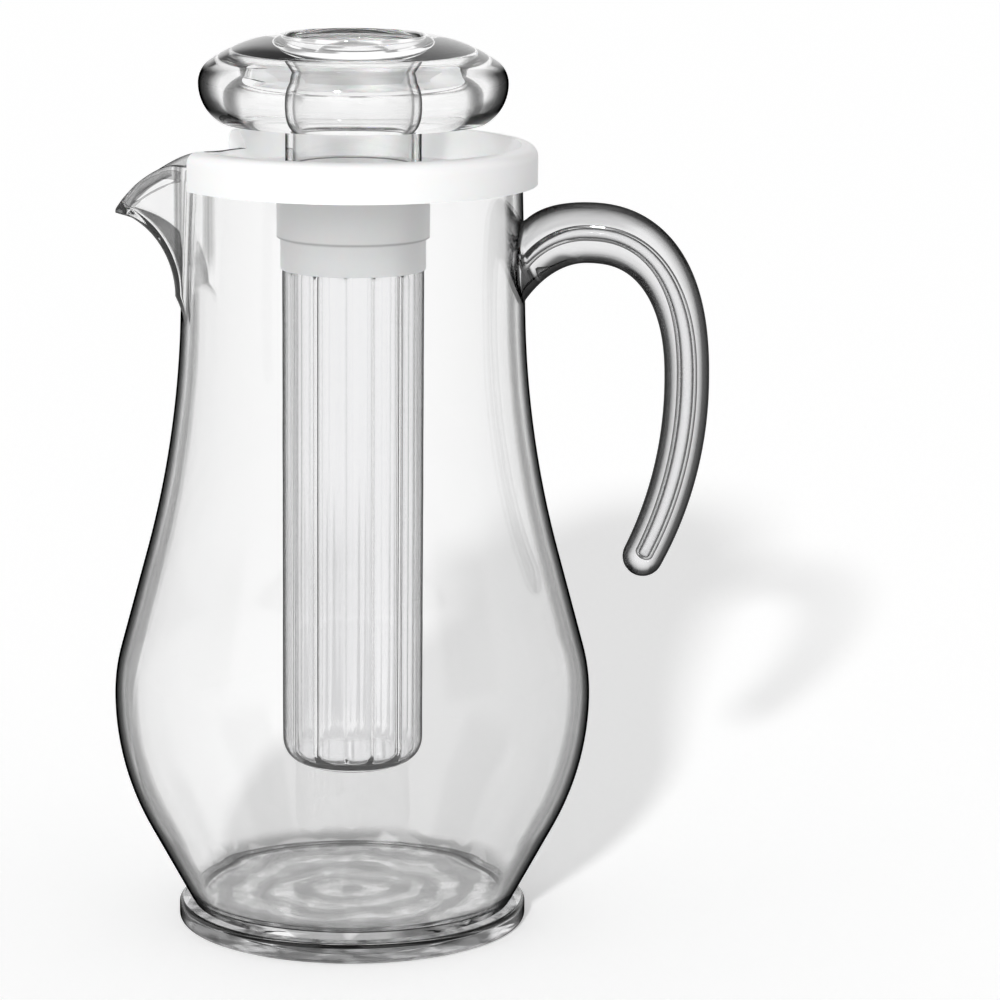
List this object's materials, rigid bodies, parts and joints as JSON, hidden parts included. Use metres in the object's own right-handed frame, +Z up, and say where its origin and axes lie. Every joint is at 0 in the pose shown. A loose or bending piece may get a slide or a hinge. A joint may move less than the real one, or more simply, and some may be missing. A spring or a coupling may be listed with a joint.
{
  "type": "pitcher with ice core",
  "caption": "Clear bellied pitcher with beak spout and open hook handle, white drop-on lid with a clear hollow knob, and a fluted clear ice core hanging from the lid.",
  "frame": {"origin": "on the axis of the body, in the plane the foot stands on", "axes": "+Z up along the body's axis, +X towards the handle, -X towards the spout, +Y towards the back when the handle is on the right"},
  "size_m": [0.1884, 0.1516, 0.2841],
  "materials": {
    "clear_body": "clear polished",
    "clear_foot": "clear polished",
    "clear_handle": "clear polished",
    "white_lid": "satin",
    "white_collar": "satin",
    "clear_core": "clear polished",
    "clear_knob": "clear polished"
  },
  "bodies": {
    "pitcher": {"pitcher_body": "clear_body", "foot": "clear_foot", "handle": "clear_handle"},
    "lid": {"lid": "white_lid"},
    "knob": {"knob_cap": "clear_knob", "knob_cup": "clear_knob"},
    "ice_core": {"ice_tube": "clear_core", "tube_collar": "white_collar"}
  },
  "joints": [
    {"name": "lid_lift", "type": "slide", "parent": "pitcher", "child": "lid", "axis": [0, 0, 1], "range_m": [0, 0.2]},
    {"name": "knob_lift", "type": "slide", "parent": "lid", "child": "knob", "axis": [0, 0, 1], "range_m": [0, 0.03]},
    {"name": "core_turn", "type": "hinge", "parent": "lid", "child": "ice_core", "pos_m": [0, 0, 0.22], "axis": [0, 0, 1], "range_deg": [0, 45]}
  ]
}
